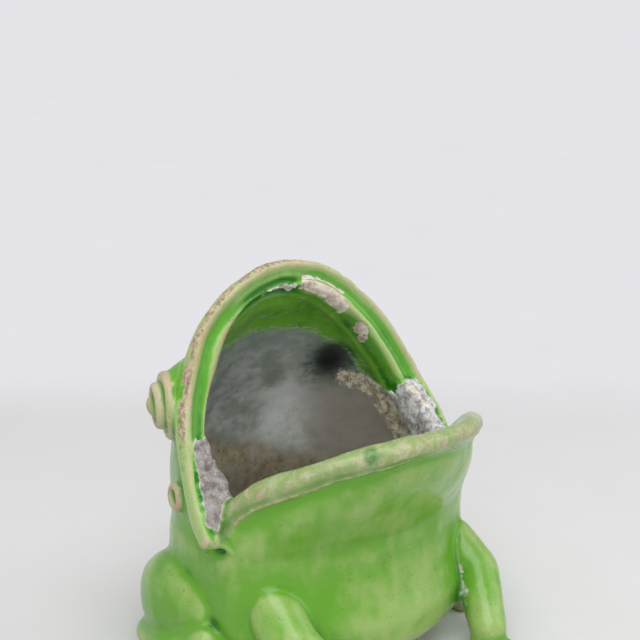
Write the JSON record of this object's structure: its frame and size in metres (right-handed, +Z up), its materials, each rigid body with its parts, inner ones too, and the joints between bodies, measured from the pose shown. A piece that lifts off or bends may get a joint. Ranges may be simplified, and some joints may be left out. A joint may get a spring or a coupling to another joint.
{
  "type": "frog-shaped flower holder",
  "caption": "Green-glazed earthenware frog, hollow, with a widely gaping mouth that holds cut flowers.",
  "frame": {"origin": "middle of the figure's outline, on the plane it stands on", "axes": "+Z up, the frog faces -Y, its left side is +X"},
  "size_m": [0.1132, 0.1001, 0.116],
  "materials": {
    "body_glaze": "glossy translucent green glaze over buff clay",
    "lip_glaze": "thin worn green glaze, pooled darker in its channel",
    "ridge_glaze": "thin green glaze worn to buff on its crest",
    "dark_glaze": "thick dark green glaze",
    "bare_clay": "matt unglazed buff earthenware",
    "lime_crust": "matt grey lime and dirt deposit"
  },
  "bodies": {
    "root": {"foot_ring": "bare_clay", "belly_shell": "body_glaze", "lower_jaw": "body_glaze", "lower_lip": "lip_glaze", "upper_jaw": "body_glaze", "upper_lip": "lip_glaze", "brow_left": "ridge_glaze", "brow_right": "ridge_glaze", "eyelid_left": "body_glaze", "eyelid_right": "body_glaze", "eyeball_left": "dark_glaze", "eyeball_right": "dark_glaze", "ear_ring_left": "ridge_glaze", "ear_ring_right": "ridge_glaze", "nostril_left": "dark_glaze", "nostril_right": "dark_glaze", "back_fold_left": "body_glaze", "back_fold_right": "body_glaze", "foreleg_left": "body_glaze", "foreleg_right": "body_glaze", "forefoot_left": "body_glaze", "forefoot_right": "body_glaze", "thigh_left": "body_glaze", "thigh_right": "body_glaze", "shank_left": "body_glaze", "shank_right": "body_glaze", "hindfoot_left": "body_glaze", "hindfoot_right": "body_glaze", "corner_crust_left": "lime_crust", "corner_crust_right": "lime_crust"}
  },
  "joints": []
}
